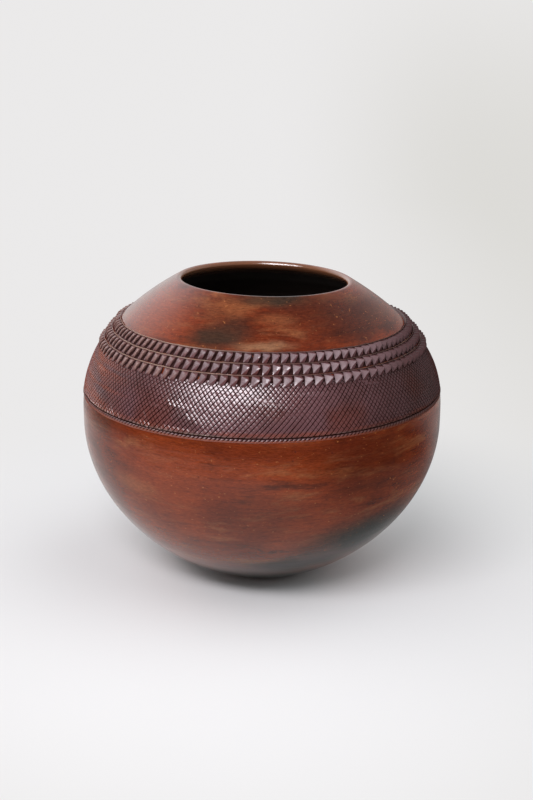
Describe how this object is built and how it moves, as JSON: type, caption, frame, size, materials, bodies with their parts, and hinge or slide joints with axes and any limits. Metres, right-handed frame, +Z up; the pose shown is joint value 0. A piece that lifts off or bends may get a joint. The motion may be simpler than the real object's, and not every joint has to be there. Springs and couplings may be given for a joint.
{
  "type": "beer pot",
  "caption": "Round coil-built clay beer pot with an open mouth, a rounded lip, a flat base, a hatched band and notched ridges round the shoulder.",
  "frame": {"origin": "middle of the flat base, on the surface that the pot stands on", "axes": "+Z up along the pot's axis of revolution; -Y towards the side that the picture shows"},
  "size_m": [0.3, 0.3, 0.2513],
  "materials": {
    "burnished_clay": "burnished by hand, satin, with darker fire clouds",
    "carved_clay": "cut when leather-hard, satin, a little duller than the burnished wall"
  },
  "bodies": {
    "root": {"base_pad": "burnished_clay", "wall_coil_1": "burnished_clay", "wall_coil_2": "burnished_clay", "wall_coil_3": "burnished_clay", "wall_coil_4": "burnished_clay", "wall_coil_5": "burnished_clay", "hatched_coil": "carved_clay", "ridge_coil": "burnished_clay", "shoulder_coil": "burnished_clay", "rim_coil": "burnished_clay", "lower_ridge": "carved_clay", "middle_ridge": "carved_clay", "upper_ridge": "carved_clay"}
  },
  "joints": []
}
